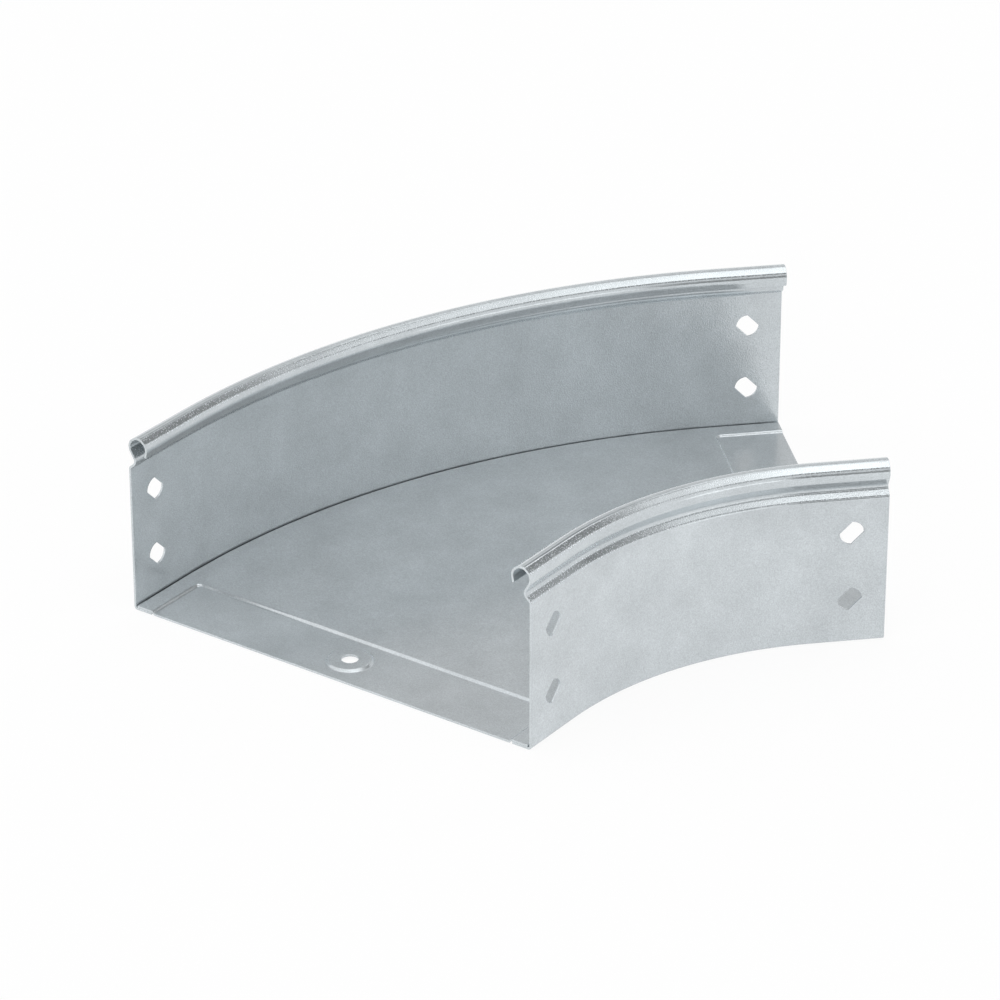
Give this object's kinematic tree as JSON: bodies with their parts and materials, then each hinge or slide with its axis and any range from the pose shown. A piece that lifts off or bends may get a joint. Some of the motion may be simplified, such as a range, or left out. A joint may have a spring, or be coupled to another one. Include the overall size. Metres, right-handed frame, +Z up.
{
  "type": "cable tray bend",
  "caption": "Horizontal cable tray bend in galvanised sheet steel: a curved floor plate with pressed connection panels between curved side rails with rolled rims and leaning bolt slots.",
  "frame": {"origin": "middle of the bend's bounding box, on the plane that the rails' flanges lie on", "axes": "+Z up out of the open tray, -Y out of the near end, the tray runs along +Y and then turns towards +X"},
  "size_m": [0.2652, 0.2988, 0.08],
  "materials": {
    "floor_zinc": "galvanised, fine grain",
    "rail_zinc": "galvanised, fine grain"
  },
  "bodies": {
    "root": {"floor_plate": "floor_zinc", "outer_side_rail": "rail_zinc", "inner_side_rail": "rail_zinc"}
  },
  "joints": []
}
